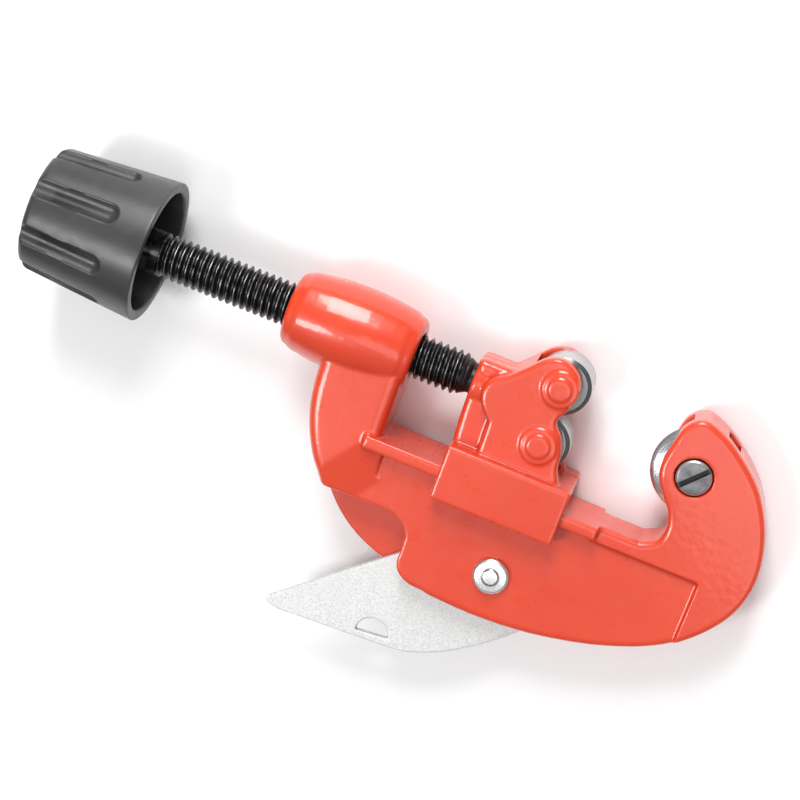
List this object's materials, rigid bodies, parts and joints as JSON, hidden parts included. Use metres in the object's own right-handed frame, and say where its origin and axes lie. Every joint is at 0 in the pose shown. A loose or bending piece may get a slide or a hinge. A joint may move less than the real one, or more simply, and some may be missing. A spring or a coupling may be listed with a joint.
{
  "type": "pipe cutter",
  "caption": "Screw-feed pipe cutter with a red C-shaped frame, a sliding roller carriage, a cutting wheel in the jaw, a dark fluted knob and a fold-out reamer.",
  "frame": {"origin": "middle of the tool's box, half way between its faces", "axes": "+X along the feed screw from the knob to the jaw, +Y towards the open side of the frame, +Z out of the face with the thumb notch and the slotted screw head"},
  "size_m": [0.1682, 0.0794, 0.0312],
  "materials": {
    "enamel": "gloss red enamel on a cast body",
    "black_steel": "oiled black oxide on steel",
    "bright_steel": "ground steel",
    "plated_steel": "bright zinc plating",
    "blasted_steel": "fine blasted steel plate",
    "moulded_plastic": "satin moulded plastic"
  },
  "bodies": {
    "frame_body": {"frame": "enamel", "cutter_axle_screw": "black_steel", "reamer_rivet": "plated_steel", "reamer_spring_washer": "bright_steel"},
    "slider_body": {"slider": "enamel", "screw_retaining_pin": "plated_steel", "upper_roller_pin": "plated_steel", "lower_roller_pin": "plated_steel"},
    "screw_body": {"feed_screw": "black_steel", "knob": "moulded_plastic", "knob_roll_pin": "plated_steel"},
    "upper_roller_body": {"upper_roller": "bright_steel"},
    "lower_roller_body": {"lower_roller": "bright_steel"},
    "cutter_body": {"cutter_wheel": "bright_steel"},
    "reamer_body": {"reamer_blade": "blasted_steel"}
  },
  "joints": [
    {"name": "slider_slide", "type": "slide", "parent": "frame_body", "child": "slider_body", "axis": [1, 0, 0], "range_m": [-0.012, 0.013]},
    {"name": "feed_screw_turn", "type": "hinge", "parent": "slider_body", "child": "screw_body", "pos_m": [0.00633, 0.02417, 0], "axis": [1, 0, 0], "range_deg": [-2720, 2947]},
    {"name": "upper_roller_spin", "type": "hinge", "parent": "slider_body", "child": "upper_roller_body", "pos_m": [0.03253, 0.03052, 0], "axis": [0, 0, 1], "continuous": true},
    {"name": "lower_roller_spin", "type": "hinge", "parent": "slider_body", "child": "lower_roller_body", "pos_m": [0.03253, 0.01782, 0], "axis": [0, 0, 1], "continuous": true},
    {"name": "cutter_wheel_spin", "type": "hinge", "parent": "frame_body", "child": "cutter_body", "pos_m": [0.06423, 0.02337, 0], "axis": [0, 0, 1], "continuous": true},
    {"name": "reamer_swing", "type": "hinge", "parent": "frame_body", "child": "reamer_body", "pos_m": [0.03313, -0.01263, 0], "axis": [0, 0, 1], "range_deg": [-41, 50]}
  ],
  "couplings": [
    {"joint": "slider_slide", "follows": "feed_screw_turn", "m_per_rad": 0.00025266}
  ]
}
